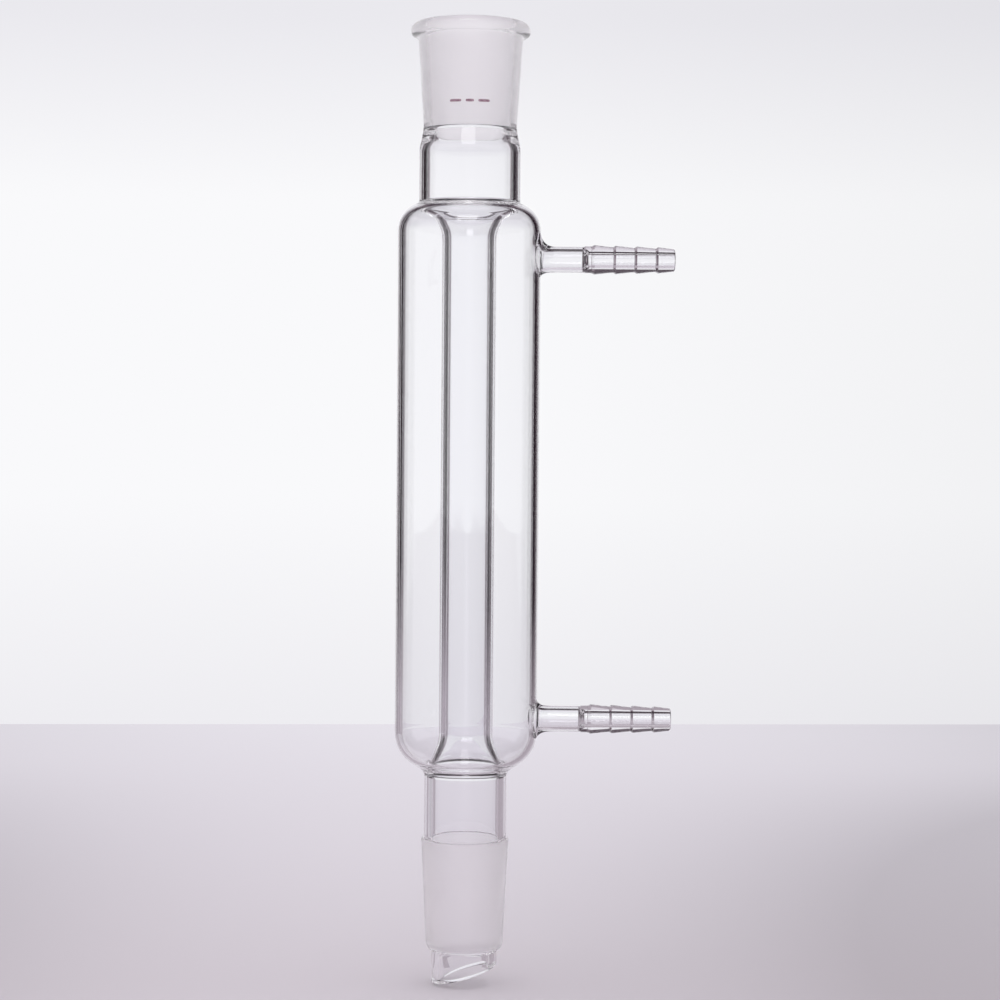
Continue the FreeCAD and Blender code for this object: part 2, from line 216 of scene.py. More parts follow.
@dataclass
class GlassBody:
    """The fused glass: skin, vapour path, water space and hose arms as one closed surface.

    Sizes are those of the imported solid. Where the solid has small flats, these are the true roundings.
    """

    joint_radius: float = 12.0
    joint_taper: float = 0.05
    cone_length: float = 30.5
    cone_bevel: tuple[float, float] = (0.6, 1.6)
    tip_radius: float = 8.95
    tip_bore: float = 6.65
    tip_length: float = 9.9
    tip_slant: float = 16.2
    lower_neck_radius: float = 11.3
    lower_neck_bore: float = 9.2
    dome_foot: float = 18.4
    dome_slope: float = 32.0
    dome_round: float = 10.5
    jacket_radius: float = 19.6
    jacket_wall: float = 1.5
    jacket_top: float = 174.4
    shoulder_slope: float = 25.0
    shoulder_round: float = 8.0
    inner_radius: float = 7.4
    inner_wall: float = 1.7
    flare_low: float = 26.4
    flare_high: float = 166.0
    flare_bore_lean: float = 0.46
    flare_wall_lean: float = 0.4
    knee_radius: float = 9.2
    knee_height: float = 170.4
    knee_wall: tuple[float, float] = (1.38, 1.12)
    flare_slope: float = 34.0
    upper_neck_radius: float = 13.85
    upper_neck_bore: float = 11.85
    throat_radius: float = 9.9
    throat_height: float = 5.4
    socket_bottom: float = 194.6
    socket_length: float = 28.3
    socket_foot_wall: float = 2.15
    socket_mouth_wall: float = 2.55
    rim_radius: float = 16.35
    rim_top: float = 223.4
    rim_height: float = 3.8
    arm_heights: tuple[float, float] = (33.1, 159.2)
    arm_radius: float = 3.5
    arm_bore: float = 2.4
    barb_bore: float = 1.7
    barb_radius: float = 4.05
    barb_step: float = 0.15
    barb_depth: float = 0.55
    barb_pitch: float = 5.8
    barb_count: int = 4
    barb_back: float = 0.7
    arm_tip: float = 56.35
    tip_narrowing: float = 0.45
    first_crest: float = 34.3
    ring_lead: float = 2.9
    ring_height: float = 0.2
    bore_step: tuple[float, float] = (3.2, 1.6)
    weld_end: float = 24.0
    weld_sizes: tuple[float, float] = (2.0, 2.8)
    weld_leans: tuple[float, float] = (-0.3, 1.4)
    columns: int = 160
    window_columns: int = 11
    window_height: float = 8.0
    wall_beyond: float = 13.0
    vertices: list[np.ndarray] = field(default_factory=list)
    normals: list[np.ndarray] = field(default_factory=list)
    quads: list[np.ndarray] = field(default_factory=list)
    finishes: list[np.ndarray] = field(default_factory=list)
    total: int = 0

    def cone_radius(self, height: float) -> float:
        """Radius of the ground cone at a height below z = 0."""
        return self.joint_radius + height * self.joint_taper

    def dome_height(self, across: float, inset: float = 0.0) -> float:
        """Height of the dome's slope at a distance from the axis, moved inwards by the inset."""
        slope = math.radians(self.dome_slope)
        return self.dome_foot + (across - self.lower_neck_radius) * math.tan(slope) + inset / math.cos(slope)

    def shoulder_height(self, across: float, inset: float = 0.0) -> float:
        """Height of the shoulder's slope at a distance from the axis, moved inwards by the inset."""
        slope = math.radians(self.shoulder_slope)
        return self.jacket_top - (across - self.upper_neck_radius) * math.tan(slope) - inset / math.cos(slope)

    def socket_outside(self, height: float) -> float:
        """Radius of the socket's outer cone at a height."""
        foot = self.joint_radius - self.socket_length * self.joint_taper + self.socket_foot_wall
        mouth = self.joint_radius + self.socket_mouth_wall
        return foot + (height - self.socket_bottom) / self.socket_length * (mouth - foot)

    def skin_corners(self) -> list[Corner]:
        """Corners of the outer skin upwards, over the rim and down the vapour path to the tip."""
        foot = -self.cone_length
        mouth = self.socket_bottom + self.socket_length
        socket_small = self.joint_radius - self.socket_length * self.joint_taper
        rim_under = self.rim_top - self.rim_height
        jacket = self.jacket_radius
        neck_foot = self.socket_bottom - self.throat_height
        bore = self.inner_radius - self.inner_wall
        knee = (self.knee_radius - self.knee_wall[0], self.knee_height + self.knee_wall[1])
        seal = knee[1] + (self.upper_neck_bore - knee[0]) * math.tan(math.radians(self.flare_slope))
        lower_flare_foot = self.flare_low - (self.lower_neck_bore - bore) / self.flare_bore_lean
        tip_end = self.tip_middle()
        bevel, bevel_height = self.cone_bevel
        return [
            Corner(self.tip_radius, tip_end, 0.95),
            Corner(self.tip_radius, foot, 0.4),
            Corner(self.cone_radius(foot) - bevel, foot, 0.7, Finish.GROUND),
            Corner(self.cone_radius(foot + bevel_height), foot + bevel_height, 2.5, Finish.GROUND),
            Corner(self.joint_radius, 0.0, 0.35),
            Corner(self.lower_neck_radius, 0.0, 0.35),
            Corner(self.lower_neck_radius, self.dome_foot, 2.6),
            Corner(jacket, self.dome_height(jacket), self.dome_round),
            Corner(jacket, self.shoulder_height(jacket), self.shoulder_round),
            Corner(self.upper_neck_radius, self.jacket_top, 0.8),
            Corner(self.upper_neck_radius, neck_foot, 6.0),
            Corner(self.socket_outside(self.socket_bottom), self.socket_bottom, 8.0, Finish.TOOLED),
            Corner(self.socket_outside(rim_under), rim_under, 0.7, Finish.TOOLED),
            Corner(self.rim_radius, rim_under, 1.4, Finish.TOOLED),
            Corner(self.rim_radius, self.rim_top, 2.1, Finish.TOOLED),
            Corner(self.joint_radius + 0.4, self.rim_top, 0.7, Finish.GROUND),
            Corner(self.joint_radius, mouth - 0.4, 0.8, Finish.GROUND),
            Corner(socket_small, self.socket_bottom, 0.4),
            Corner(self.throat_radius, self.socket_bottom - 0.6, 1.2),
            Corner(self.upper_neck_bore, neck_foot, 5.0),
            Corner(self.upper_neck_bore, seal, 1.6),
            Corner(knee[0], knee[1], 4.0),
            Corner(bore, self.flare_high + 0.33, 8.0),
            Corner(bore, self.flare_low, 12.0),
            Corner(self.lower_neck_bore, lower_flare_foot, 3.0),
            Corner(self.lower_neck_bore, 0.0, 20.0),
            Corner(self.lower_neck_bore - 0.82, foot + 3.0, 2.5),
            Corner(self.tip_bore, foot - 1.0, 2.5),
            Corner(self.tip_bore, tip_end, 0.95),
        ]

    def water_corners(self) -> list[Corner]:
        """Corners of the water space: down the jacket's wall, the floor, up the inner tube, the ceiling.

        The floor meets the lower flare, and the ceiling meets the upper one, where their lines cross.
        """
        wall = self.jacket_wall
        bore = self.jacket_radius - wall
        rise = math.tan(math.radians(self.flare_slope))
        fall = math.tan(math.radians(self.shoulder_slope))
        drop = self.shoulder_height(self.knee_radius, wall) - self.knee_height
        seal = self.knee_radius + drop / (rise + fall)
        flare_line = self.flare_low + self.inner_radius / self.flare_wall_lean
        dome_rise = math.tan(math.radians(self.dome_slope))
        crevice = (flare_line - self.dome_height(0.0, wall)) / (dome_rise + 1 / self.flare_wall_lean)
        return [
            Corner(seal, self.shoulder_height(seal, wall), 0.9),
            Corner(bore, self.shoulder_height(bore, wall), self.shoulder_round - wall),
            Corner(bore, self.dome_height(bore, wall), self.dome_round - wall),
            Corner(crevice, self.dome_height(crevice, wall), 0.9),
            Corner(self.inner_radius, self.flare_low, 12.0),
            Corner(self.inner_radius, self.flare_high, 8.0),
            Corner(self.knee_radius, self.knee_height, 4.0),
        ]

    def tip_middle(self) -> float:
        """Height of the slant cut on the tube axis."""
        return -self.cone_length - self.tip_length + self.tip_radius * math.tan(math.radians(self.tip_slant))

    def add_rows(self, points: np.ndarray, normals: np.ndarray) -> int:
        """Adds vertices in mm and returns the number of the first."""
        first = self.total
        self.vertices.append(points.reshape(-1, 3))
        self.normals.append(normals.reshape(-1, 3))
        self.total += points.reshape(-1, 3).shape[0]
        return first

    def add_quads(self, index: np.ndarray, finish: np.ndarray) -> None:
        """Adds a quad for each cell of an index grid whose columns already wrap.

        Args:
            index: vertex numbers, one row per profile row, the first column repeated at the end.
            finish: finish of each cell.
        """
        keep = finish >= 0
        self.quads.append(cells_of(index)[keep])
        self.finishes.append(finish[keep])

    def slanted(self, points: np.ndarray, normals: np.ndarray) -> tuple[np.ndarray, np.ndarray]:
        """Shears the drip tip to its slant cut: z grows by x times the slope, fading out up the tip."""
        fade_top = -self.cone_length - 1.2
        slope = math.tan(math.radians(self.tip_slant))
        share = np.clip((fade_top - points[..., 2]) / (fade_top - self.tip_middle() - 1.0), 0.0, 1.0)
        moved = points.copy()
        moved[..., 2] += share * points[..., 0] * slope
        leaning = normals.copy()
        leaning[..., 0] -= share * slope * normals[..., 2]
        return moved, leaning / np.linalg.norm(leaning, axis=-1, keepdims=True)

    def turn(self, profile: Profile) -> np.ndarray:
        """Turns a closed profile around the tube axis: (a cos t, a sin t, b) for a point (a, b).

        Returns:
            The vertex numbers, one row per profile row and one column per angle.
        """
        angle = np.arange(self.columns) * 2 * np.pi / self.columns
        circle = np.stack([np.cos(angle), np.sin(angle)])
        points = np.empty((len(profile.across), self.columns, 3))
        normals = np.empty_like(points)
        for axis in (0, 1):
            points[..., axis] = profile.across[:, None] * circle[axis]
            normals[..., axis] = profile.lean[:, :1] * circle[axis]
        points[..., 2] = profile.along[:, None]
        normals[..., 2] = profile.lean[:, 1:]
        points, normals = self.slanted(points, normals)
        first = self.add_rows(points, normals)
        return first + np.arange(points.shape[0] * self.columns).reshape(points.shape[:2])

    def window_loop(self, wall: TurnedWall, height: float) -> np.ndarray:
        """Vertex numbers around an arm's window, counted from +Y towards +Z about the arm's axis."""
        grid, profile = wall.grid, wall.profile
        near = np.flatnonzero(
            (profile.across > self.wall_beyond) & (np.abs(profile.along - height) < self.window_height + 1e-6)
        )
        near = near[np.argsort(profile.along[near])]
        side = np.arange(-self.window_columns, self.window_columns + 1) % self.columns
        right = grid[near, side[-1]]
        left = grid[near, side[0]]
        top = grid[near[-1], side]
        bottom = grid[near[0], side]
        return np.concatenate([right[:-1], top[::-1][:-1], left[::-1][:-1], bottom[:-1]])

    def close_turned(self, wall: TurnedWall) -> None:
        """Makes the quads of a turned wall, leaving each arm's window open."""
        grid, profile = wall.grid, wall.profile
        wrapped = np.concatenate([grid, grid[:1]])
        wrapped = np.concatenate([wrapped, wrapped[:, :1]], axis=1)
        finish = np.repeat(profile.finish[:, None], self.columns, axis=1)
        middle = (profile.along + np.roll(profile.along, -1)) / 2
        column = np.minimum(np.arange(self.columns), self.columns - 1 - np.arange(self.columns))
        for height in self.arm_heights:
            rows = (profile.across > self.wall_beyond) & (np.abs(middle - height) < self.window_height)
            finish[np.ix_(rows, column < self.window_columns)] = -1
        self.add_quads(wrapped, finish)

    def wall_point(self, fine: Profile, side: np.ndarray, height: np.ndarray) -> np.ndarray:
        """Points of a turned wall above (y, z): x is the root of its distance squared less y squared."""
        across, _ = fine.at_heights(height, self.wall_beyond)
        return np.stack([np.sqrt(across**2 - side**2), side, height], axis=-1)

    def flare(
        self, fine: Profile, edge: np.ndarray, height: float,
        tube: float, end: float, size: float, lean: float,
    ) -> np.ndarray:
        """Rows from an arm's window to its tube, across the wall and up a weld.

        The weld is a quadratic curve in each plane through the arm's axis. It leaves the wall along the
        wall and meets the tube along the tube. Its size changes around the arm with the sine of the angle.

        Args:
            fine: outline of the wall.
            edge: points of the window's edge.
            height: height of the arm's axis.
            tube: radius of the tube.
            end: place along X where the weld has become the tube.
            size: width of the weld beside the arm.
            lean: how much larger the weld is above the arm than beside it.

        Returns:
            The points, one row per step and one column per point of the edge.
        """
        angle = np.arctan2(edge[:, 2] - height, edge[:, 1])
        spoke = np.stack([np.cos(angle), np.sin(angle)], axis=-1)
        width = size + lean * np.sin(angle)
        circle = spoke * (tube + width)[:, None] + np.array([0.0, height])
        share = np.linspace(0, 1, 7)[:, None, None]
        flat = edge[None, :, 1:] * (1 - share) + circle[None] * share
        wall = self.wall_point(fine, flat[..., 0], flat[..., 1])
        tiny = 0.02
        inner = circle - spoke * tiny
        slope = (wall[-1, :, 0] - self.wall_point(fine, inner[:, 0], inner[:, 1])[:, 0]) / tiny
        part = np.linspace(0, 1, 11)[1:, None]
        corner_x = wall[-1, :, 0] - slope * width
        bend_x = (1 - part) ** 2 * wall[-1, :, 0] + 2 * part * (1 - part) * corner_x + part**2 * end
        reach = tube + width * (1 - part) ** 2
        bend = np.stack([bend_x, reach * spoke[:, 0], height + reach * spoke[:, 1]], axis=-1)
        return np.concatenate([wall, bend])

    def arm_profile(self) -> Profile:
        """Outline of an arm from its weld over the barbs and the tip, and back through its bore."""
        ring_start = self.first_crest - self.ring_lead
        ring_radius = self.arm_radius + self.ring_height
        wide_end, narrow_end = self.bore_step
        corners = [
            Corner(self.arm_radius, self.weld_end, 0.0),
            Corner(self.arm_radius, ring_start, 0.5),
            Corner(ring_radius, ring_start + 0.4, 0.5),
            Corner(ring_radius, self.first_crest - 0.8, 0.4),
        ]
        for number in range(self.barb_count):
            crest = self.first_crest + number * self.barb_pitch
            radius = self.barb_radius - self.barb_step * number
            corners.append(Corner(radius, crest, 0.3))
            if number < self.barb_count - 1:
                valley = crest + self.barb_pitch - self.barb_back
                corners.append(Corner(radius - self.barb_depth, valley, 0.35))
        corners += [
            Corner(self.arm_radius - self.tip_narrowing, self.arm_tip, 0.7),
            Corner(self.barb_bore, self.arm_tip, 0.6),
            Corner(self.barb_bore, self.first_crest - narrow_end, 1.6),
            Corner(self.arm_bore, self.first_crest - wide_end, 1.6),
            Corner(self.arm_bore, self.weld_end - 1.6, 0.0),
        ]
        return sampled(corners, 13.0, closed=False)

    def add_arm(self, skin: TurnedWall, water: TurnedWall, arm: int) -> None:
        """Joins the skin and the water space by one hose arm.

        Args:
            skin: the outer skin.
            water: the wall of the water space.
            arm: number of the arm, the lower one first.
        """
        height = self.arm_heights[arm]
        size = self.weld_sizes[arm]
        lean = self.weld_leans[arm]
        points = np.concatenate(self.vertices)
        outer_loop = self.window_loop(skin, height)
        inner_loop = self.window_loop(water, height)
        profile = self.arm_profile()
        start = profile.along[0]
        end = profile.along[-1]
        outer = self.flare(skin.fine, points[outer_loop], height, self.arm_radius, start, size, lean)
        inner = self.flare(water.fine, points[inner_loop], height, self.arm_bore, end, size, lean * 0.6)
        angle = np.arctan2(outer[0, :, 2] - height, outer[0, :, 1])
        tube = np.stack(
            [
                np.repeat(profile.along[:, None], len(angle), axis=1),
                profile.across[:, None] * np.cos(angle),
                height + profile.across[:, None] * np.sin(angle),
            ],
            axis=-1,
        )
        tube_normals = np.stack(
            [
                np.repeat(profile.lean[:, 1:], len(angle), axis=1),
                profile.lean[:, :1] * np.cos(angle),
                profile.lean[:, :1] * np.sin(angle),
            ],
            axis=-1,
        )
        outer_normals = normals_of(outer)
        inner_normals = normals_of(inner[::-1])
        rows = np.concatenate([outer[1:-1], tube, inner[::-1][1:-1]])
        facing = np.concatenate([outer_normals[1:-1], tube_normals, inner_normals[1:-1]])
        first = self.add_rows(rows, facing)
        index = first + np.arange(rows.shape[0] * rows.shape[1]).reshape(rows.shape[:2])
        index = np.concatenate([outer_loop[None], index, inner_loop[None]])
        index = np.concatenate([index, index[:, :1]], axis=1)
        self.add_quads(index, np.zeros((index.shape[0] - 1, index.shape[1] - 1), dtype=int))

    def turned_wall(self, corners: list[Corner], upwards: bool) -> TurnedWall:
        """Turns an outline into a wall with rows at the edges of the arms' windows.

        Args:
            corners: the outline's corners.
            upwards: whether the outline runs upwards where the arms are.

        Returns:
            The wall, with its vertices added and its quads not yet made.
        """
        fine = sampled(corners, 0.5)
        profile = sampled(corners, 8.0)
        steps = np.linspace(-self.window_height, self.window_height, 2 * self.window_columns + 1)
        for height in self.arm_heights:
            levels = height + steps
            profile = profile.with_rows(fine, levels if upwards else levels[::-1], self.wall_beyond)
        return TurnedWall(self.turn(profile), profile, fine)

    def build(self, finishes: list[bpy.types.Material]) -> bpy.types.Object:
        """Builds the glass and returns its object, riding on the part's body and replacing its node."""
        skin = self.turned_wall(self.skin_corners(), upwards=True)
        water = self.turned_wall(self.water_corners(), upwards=False)
        self.close_turned(skin)
        self.close_turned(water)
        for arm in range(len(self.arm_heights)):
            self.add_arm(skin, water, arm)
        glass = surface_object(
            "glass_body",
            np.concatenate(self.vertices) * MM,
            np.concatenate(self.quads),
            np.concatenate(self.finishes),
            np.concatenate(self.normals),
        )
        for material in finishes:
            glass.data.materials.append(material)
        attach(glass, BODY)
        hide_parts(GLASS_NODE)
        log.info("glass_body: %d vertices, %d quads", len(glass.data.vertices), len(glass.data.polygons))
        return glass


def normals_of(grid: np.ndarray) -> np.ndarray:
    """Unit normals of a grid of points: the difference along the columns crossed with that along the rows."""
    across = np.roll(grid, -1, axis=1) - np.roll(grid, 1, axis=1)
    along = np.gradient(grid, axis=0)
    normal = np.cross(across, along)
    return normal / np.linalg.norm(normal, axis=-1, keepdims=True)


def cells_of(index: np.ndarray) -> np.ndarray:
    """Four vertex numbers for each cell of a grid of vertex numbers."""
    return np.stack([index[:-1, :-1], index[:-1, 1:], index[1:, 1:], index[1:, :-1]], axis=-1)


def placed(name: str, data: bpy.types.ID) -> bpy.types.Object:
    """Makes an object of a mesh, a lamp or a camera and links it to the scene."""
    made = bpy.data.objects.new(name, data)
    bpy.context.scene.collection.objects.link(made)
    return made


def surface_object(
    name: str, points: np.ndarray, quads: np.ndarray, finish: np.ndarray, normals: np.ndarray
) -> bpy.types.Object:
    """Makes a smooth mesh object from arrays.

    Args:
        name: name of the piece.
        points: vertices in metres.
        quads: four vertex numbers per face.
        finish: material index of each face.
        normals: exact outward normal at each vertex.

    Returns:
        The object, linked to the scene.
    """
    mesh = bpy.data.meshes.new(name)
    mesh.from_pydata(points, [], quads)
    mesh.polygons.foreach_set("material_index", finish.astype(np.int32))
    mesh.polygons.foreach_set("use_smooth", np.ones(len(quads), dtype=bool))
    mesh.update()
    mesh.normals_split_custom_set_from_vertices(normals.tolist())
    return placed(name, mesh)


def sheet_object(name: str, grid: np.ndarray, material: bpy.types.Material) -> bpy.types.Object:
    """Makes a mesh object of quads from a grid of points in mm."""
    rows, columns = grid.shape[:2]
    index = np.arange(rows * columns).reshape(rows, columns)
    mesh = bpy.data.meshes.new(name)
    mesh.from_pydata(grid.reshape(-1, 3) * MM, [], cells_of(index).reshape(-1, 4))
    mesh.materials.append(material)
    return placed(name, mesh)


def linear(hex_colour: str) -> tuple[float, float, float, float]:
    """Turns an sRGB hex colour into Blender's linear colour."""
    values = [int(hex_colour[k : k + 2], 16) / 255 for k in (1, 3, 5)]
    turned = [v / 12.92 if v <= 0.04045 else ((v + 0.055) / 1.055) ** 2.4 for v in values]
    return (turned[0], turned[1], turned[2], 1.0)


def add_node(
    tree: bpy.types.NodeTree, kind: str, settings: dict | None = None, inputs: dict | None = None
) -> bpy.types.Node:
    """Adds a node, sets its properties, and sets or links its inputs.

    Args:
        tree: the node tree.
        kind: the node's type name.
        settings: property values by name.
        inputs: values or output sockets by input name or number.

    Returns:
        The new node.
    """
    made = tree.nodes.new(kind)
    for name, value in (settings or {}).items():
        setattr(made, name, value)
    for name, value in (inputs or {}).items():
        if isinstance(value, bpy.types.NodeSocket):
            tree.links.new(value, made.inputs[name])
        else:
            made.inputs[name].default_value = value
    return made


def noise(
    tree: bpy.types.NodeTree, vector: bpy.types.NodeSocket, scale: float, detail: float
) -> bpy.types.Node:
    """Adds a noise texture over the given coordinates."""
    return add_node(tree, "ShaderNodeTexNoise", None, {"Vector": vector, "Scale": scale, "Detail": detail})


def maths(tree: bpy.types.NodeTree, operation: str, *values: object) -> bpy.types.NodeSocket:
    """Adds a Math node with values or sockets as its inputs, and returns its output."""
    return add_node(tree, "ShaderNodeMath", {"operation": operation}, dict(enumerate(values))).outputs[0]


def map_range(
    tree: bpy.types.NodeTree, value: bpy.types.NodeSocket, low: tuple, high: tuple, way: str = "LINEAR"
) -> bpy.types.NodeSocket:
    """Adds a Map Range node and returns its output.

    Args:
        tree: the node tree.
        value: the socket to map.
        low: the input's and the output's value at the start.
        high: the input's and the output's value at the end.
        way: how the node goes from one to the other.
    """
    ends = {"Value": value, "From Min": low[0], "To Min": low[1], "From Max": high[0], "To Max": high[1]}
    return add_node(tree, "ShaderNodeMapRange", {"interpolation_type": way}, ends).outputs["Result"]


def set_ramp(ramp: bpy.types.Node, tones: list[tuple[float, str]]) -> None:
    """Fills a colour ramp with (position, hex colour) stops."""
    while len(ramp.color_ramp.elements) < len(tones):
        ramp.color_ramp.elements.new(0.5)
    for element, (position, tone) in zip(ramp.color_ramp.elements, tones):
        element.position = position
        element.color = linear(tone)


def fresh_tree(owner: bpy.types.Material | bpy.types.World) -> bpy.types.NodeTree:
    """Turns on the nodes of a material or a world and empties them."""
    owner.use_nodes = True
    owner.node_tree.nodes.clear()
    return owner.node_tree


@dataclass(frozen=True)
class ClearBorosilicate:
    """Drawn and flame-worked borosilicate glass, fire-polished.

    It is clear and colourless. Drawing leaves faint lines along the tube, and the flame faint waves, which
    only show as a slight shiver in its edge lines and reflections. Where a forming tool pressed it, as on
    the outside of the socket, it has a trace of haze, which also lets the even light of the studio reach the
    ground glass behind it.
    """

    name: str = "borosilicate_fire_polished"
    roughness: float = 0.0
    colour: str = "#FDFDFE"
    ior: float = 1.474
    line_spacing: float = 2.6
    line_length: float = 60.0
    line_depth: float = 0.0003

    def material(self) -> bpy.types.Material:
        """Builds the material."""
        made = bpy.data.materials.new(self.name)
        tree = fresh_tree(made)
        place = add_node(tree, "ShaderNodeTexCoord")
        scale = (1 / (self.line_spacing * MM), 1 / (self.line_spacing * MM), 1 / (self.line_length * MM))
        stretched = add_node(
            tree, "ShaderNodeMapping", None, {"Vector": place.outputs["Object"], "Scale": scale}
        )
        lines = noise(tree, stretched.outputs["Vector"], 1.0, 1.0)
        bump = add_node(
            tree,
            "ShaderNodeBump",
            None,
            {"Height": lines.outputs["Fac"], "Distance": self.line_depth * MM, "Strength": 1.0},
        )
        glass = add_node(
            tree,
            "ShaderNodeBsdfPrincipled",
            None,
            {
                "Base Color": linear(self.colour),
                "Roughness": self.roughness,
                "IOR": self.ior,
                "Transmission Weight": 1.0,
                "Normal": bump.outputs["Normal"],
            },
        )
        add_node(tree, "ShaderNodeOutputMaterial", None, {"Surface": glass.outputs["BSDF"]})
        return made


@dataclass(frozen=True)
class GroundBorosilicate:
    """Borosilicate ground with fine abrasive against its gauge, a matt white that lets light through.

    The grit is about 0.03 mm and is drawn at 0.12 mm, because finer grain would not show.
    """

    colour: str = "#FEFBFD"
    ior: float = 1.474
    grain: float = 0.12
    grain_depth: float = 0.02
    band: float = 6.0
    clearness: float = 0.85

    def material(self) -> bpy.types.Material:
        """Builds the material."""
        made = bpy.data.materials.new("borosilicate_ground")
        tree = fresh_tree(made)
        place = add_node(tree, "ShaderNodeTexCoord")
        grain = noise(tree, place.outputs["Object"], 1 / (self.grain * MM), 2.0)
        cloud = noise(tree, place.outputs["Object"], 1 / (self.band * MM), 3.0)
        rough = map_range(tree, cloud.outputs["Fac"], (0.3, 0.55), (0.7, 0.68))
        bump = add_node(
            tree,
            "ShaderNodeBump",
            None,
            {"Height": grain.outputs["Fac"], "Distance": self.grain_depth * MM, "Strength": 0.5},
        )
        glass = add_node(
            tree,
            "ShaderNodeBsdfPrincipled",
            None,
            {
                "Base Color": linear(self.colour),
                "Roughness": rough,
                "IOR": self.ior,
                "Transmission Weight": self.clearness,
                "Normal": bump.outputs["Normal"],
            },
        )
        add_node(tree, "ShaderNodeOutputMaterial", None, {"Surface": glass.outputs["BSDF"]})
        return made


@dataclass(frozen=True)
class FiredInk:
    """Ceramic ink fired on the glass: dusky red, matt, thin enough for the ground glass to show in spots."""

    colour: str = "#8A6474"
    pale: str = "#C2A6B2"
    speckle: float = 0.35

    def material(self) -> bpy.types.Material:
        """Builds the material."""
        made = bpy.data.materials.new("fired_ceramic_ink")
        tree = fresh_tree(made)
        place = add_node(tree, "ShaderNodeTexCoord")
        spots = noise(tree, place.outputs["Object"], 1 / (self.speckle * MM), 2.0)
        worn = map_range(tree, spots.outputs["Fac"], (0.42, 0.0), (0.68, 1.0))
        tone = add_node(
            tree,
            "ShaderNodeMix",
            {"data_type": "RGBA"},
            {0: worn, 6: linear(self.colour), 7: linear(self.pale)},
        )
        ink = add_node(
            tree, "ShaderNodeBsdfPrincipled", None, {"Base Color": tone.outputs[2], "Roughness": 0.55}
        )
        add_node(tree, "ShaderNodeOutputMaterial", None, {"Surface": ink.outputs["BSDF"]})
        return made


@dataclass(frozen=True)
class Dash:
    """One dash of the socket's mark.

    Args:
        middle: place of its middle in mm, measured around the socket to the right of the front.
        width: its width in mm, measured around the socket.
    """

    middle: float
    width: float


@dataclass
class PlainMark:
    """Plain dashes fired on the front of the socket, in the place of the lettering seen there."""

    dashes: tuple[Dash, ...] = (Dash(-3.9, 3.2), Dash(0.0, 2.2), Dash(3.9, 3.2))
    height: float = 0.7
    middle: float = 200.8
    thickness: float = 0.02
    clearance: float = 0.01
    bow: float = 0.2
    columns: int = 25
    rows: int = 7

    def laid(self, dash: Dash, body: GlassBody) -> np.ndarray:
        """Points of a dash laid around the socket's outer cone, its underside first and then its face.

        The dash is a square from -1 to 1 in (a, b). Its sides bow: a is scaled by the root of one less the
        bow times b squared, and b in the same way by a. The point then goes to the angle a w / (2 r) around
        the axis and the height b h / 2 from the middle, where r is the socket's own radius at that height.
        """
        a, b = np.meshgrid(np.linspace(-1, 1, self.columns), np.linspace(-1, 1, self.rows))
        across = a * np.sqrt(1 - self.bow * b**2) * dash.width / 2
        height = self.middle + b * np.sqrt(1 - self.bow * a**2) * self.height / 2
        radius = body.socket_outside(height)
        angle = (dash.middle + across) / radius
        distance = radius + self.clearance + np.array([0.0, self.thickness])[:, None, None]
        return np.stack([distance * np.sin(angle), -distance * np.cos(angle), height + 0 * distance], axis=-1)

    def build(self, body: GlassBody, ink: bpy.types.Material) -> bpy.types.Object:
        """Builds the mark as one object of thin closed dashes."""
        cells = self.rows * self.columns
        points = np.stack([self.laid(dash, body) for dash in self.dashes])
        under = np.arange(cells).reshape(self.rows, self.columns)
        face = under + cells
        flat = cells_of(face).reshape(-1, 4)
        rim = np.concatenate([under[0, :-1], under[:-1, -1], under[-1, :0:-1], under[:0:-1, 0]])
        ahead = np.roll(rim, -1)
        sides = np.stack([rim, ahead, ahead + cells, rim + cells], axis=-1)
        one = np.concatenate([flat, flat[:, ::-1] - cells, sides])
        faces = one[None] + 2 * cells * np.arange(len(self.dashes))[:, None, None]
        mesh = bpy.data.meshes.new("socket_mark")
        mesh.from_pydata(points.reshape(-1, 3) * MM, [], faces.reshape(-1, 4))
        mesh.materials.append(ink)
        mark = placed("socket_mark", mesh)
        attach(mark, BODY)
        log.info("socket_mark: %d faces", len(mesh.polygons))
        return mark


@dataclass(frozen=True)
class Card:
    """One black card beside the glass, a strip between two angles around the object.

    Its section is an L, from the foot's inner end outwards along the table and then up.

    Args:
        start: angle where it starts, from +X towards +Y.
        end: angle where it ends.
        foot: distance of the foot's inner end from the axis.
        radius: distance of the upright part.
        top: height of its upper edge.
        mirrored: whether the glass also mirrors it, or only refracts it.
    """

    start: float
    end: float
    foot: float = 170.0
    radius: float = 300.0
    top: float = 420.0
    mirrored: bool = False


